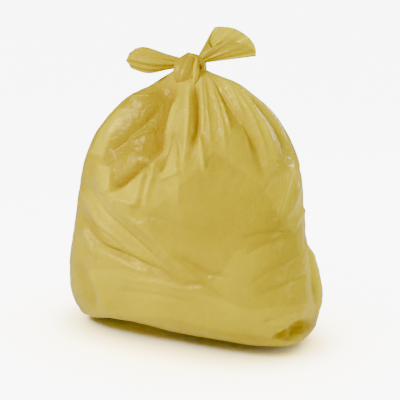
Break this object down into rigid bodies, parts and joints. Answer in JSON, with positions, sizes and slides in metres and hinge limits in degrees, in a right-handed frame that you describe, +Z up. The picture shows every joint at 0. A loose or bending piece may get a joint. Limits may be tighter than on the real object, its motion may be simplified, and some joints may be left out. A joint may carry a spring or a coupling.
{
  "type": "garbage bag",
  "caption": "Filled plastic refuse sack standing upright on its base, pleated up to a tied knot with flared ears of film.",
  "frame": {"origin": "on the floor, under the middle of the sack's overall box", "axes": "+Z up through the knot, +X along the sack's broad side towards its fuller right bottom corner, -Y towards its front"},
  "size_m": [0.4853, 0.2452, 0.5641],
  "materials": {
    "film": "satin yellow polythene film, creased, slightly translucent"
  },
  "bodies": {
    "root": {"tied_sack": "film"}
  },
  "joints": []
}
